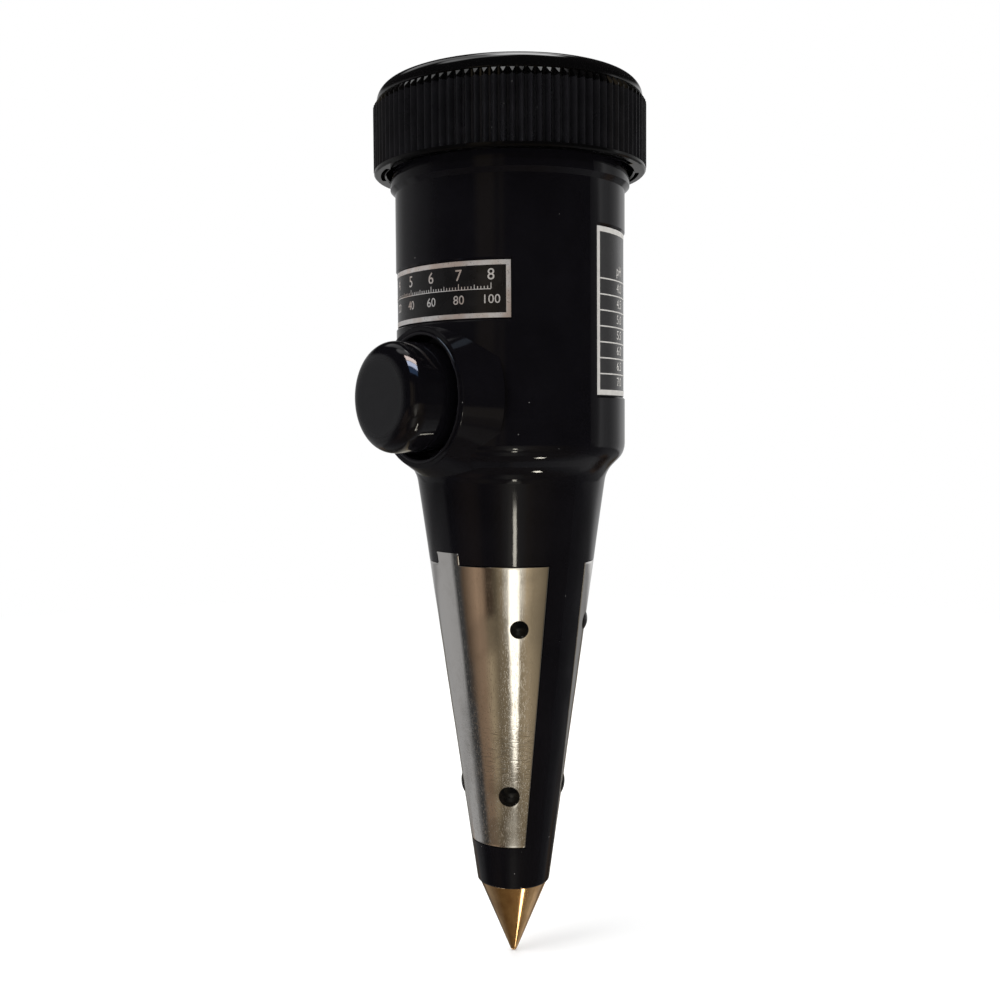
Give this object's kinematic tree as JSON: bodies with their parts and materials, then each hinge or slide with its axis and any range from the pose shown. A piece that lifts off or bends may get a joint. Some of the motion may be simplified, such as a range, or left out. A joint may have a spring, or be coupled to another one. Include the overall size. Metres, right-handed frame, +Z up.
{
  "type": "soil ph meter",
  "caption": "Handheld soil pH and moisture meter: knurled screw bezel over a dial, push button on a black barrel, and a tapered probe with bent metal electrode plates and a brass point.",
  "frame": {"origin": "the point of the brass tip, which goes into the soil first", "axes": "+Z up the probe's axis towards the dial, -Y out through the push button"},
  "size_m": [0.0494, 0.0542, 0.16],
  "materials": {
    "housing_plastic": "moulded, glossy",
    "bezel_plastic": "moulded, glossy, knurled",
    "button_plastic": "moulded, satin face",
    "peg_plastic": "moulded",
    "electrode_metal": "bright rolled, fine scratches",
    "tip_brass": "turned, tarnished",
    "printed_plate": "black print with bare silver lines",
    "window_clear": "clear",
    "rubber_seal": "matt",
    "dial_paint": "matt white with black print",
    "frame_plastic": "moulded",
    "spacer_plastic": "moulded",
    "magnet_iron": "ground",
    "yoke_steel": "plated",
    "bridge_brass": "satin",
    "winding_copper": "enamelled wire",
    "light_alloy": "thin sheet",
    "pointer_paint": "painted black",
    "small_steel": "plated",
    "contact_bronze": "sprung sheet",
    "board_laminate": "coated laminate",
    "resistor_body": "lacquered",
    "lead_black": "insulated wire",
    "lead_red": "insulated wire",
    "lead_yellow": "insulated wire"
  },
  "bodies": {
    "case": {"housing": "housing_plastic", "electrode_pegs": "peg_plastic", "front_electrode": "electrode_metal", "rear_electrode": "electrode_metal", "probe_tip": "tip_brass", "nameplate": "printed_plate", "table_plate": "printed_plate", "tip_seal": "rubber_seal", "tip_lug": "small_steel", "tip_nut": "small_steel", "dial_plate": "dial_paint", "dial_screws": "small_steel", "pointer_stops": "bridge_brass", "spacer_ring": "spacer_plastic", "meter_frame": "frame_plastic", "meter_terminals": "bridge_brass", "yoke_ring": "yoke_steel", "core_magnet": "magnet_iron", "core_stays": "bridge_brass", "upper_bridge": "bridge_brass", "lower_bridge": "bridge_brass", "bridge_pillars": "bridge_brass", "bridge_screws": "small_steel", "jewel_screws": "bridge_brass", "upper_hairspring": "contact_bronze", "lower_hairspring": "contact_bronze", "return_spring": "small_steel", "switch_contacts": "contact_bronze", "circuit_board": "board_laminate", "board_screws": "small_steel", "resistors": "resistor_body", "front_lead": "lead_black", "rear_lead": "lead_red", "tip_lead": "lead_yellow", "left_meter_lead": "lead_black", "right_meter_lead": "lead_red"},
    "button": {"push_button": "button_plastic", "button_clip": "small_steel", "contact_bridge": "contact_bronze"},
    "pointer_group": {"coil_former": "light_alloy", "coil_winding": "winding_copper", "upper_pivot": "small_steel", "lower_pivot": "small_steel", "pointer": "pointer_paint", "balance_weights": "bridge_brass"},
    "window_group": {"window": "window_clear", "window_gasket": "rubber_seal"},
    "bezel": {"bezel_ring": "bezel_plastic"}
  },
  "joints": [
    {"name": "button_press", "type": "slide", "parent": "case", "child": "button", "axis": [0, 1, 0], "range_m": [0, 0.003], "stiffness_N_per_m": 300, "springref_m": -0.004, "deforming": ["return_spring"]},
    {"name": "pointer_swing", "type": "hinge", "parent": "case", "child": "pointer_group", "pos_m": [0, -0.005, 0.142], "axis": [0, 0, -1], "range_deg": [0, 90], "stiffness_Nm_per_rad": 0.0001, "deforming": ["upper_hairspring", "lower_hairspring"]},
    {"name": "window_lift", "type": "slide", "parent": "case", "child": "window_group", "axis": [0, 0, 1], "range_m": [0, 0.006]},
    {"name": "bezel_turn", "type": "hinge", "parent": "window_group", "child": "bezel", "pos_m": [0, 0, 0.152], "axis": [0, 0, 1], "range_deg": [0, 720]}
  ],
  "couplings": [
    {"joint": "window_lift", "follows": "bezel_turn", "m_per_rad": 0.00047746}
  ]
}
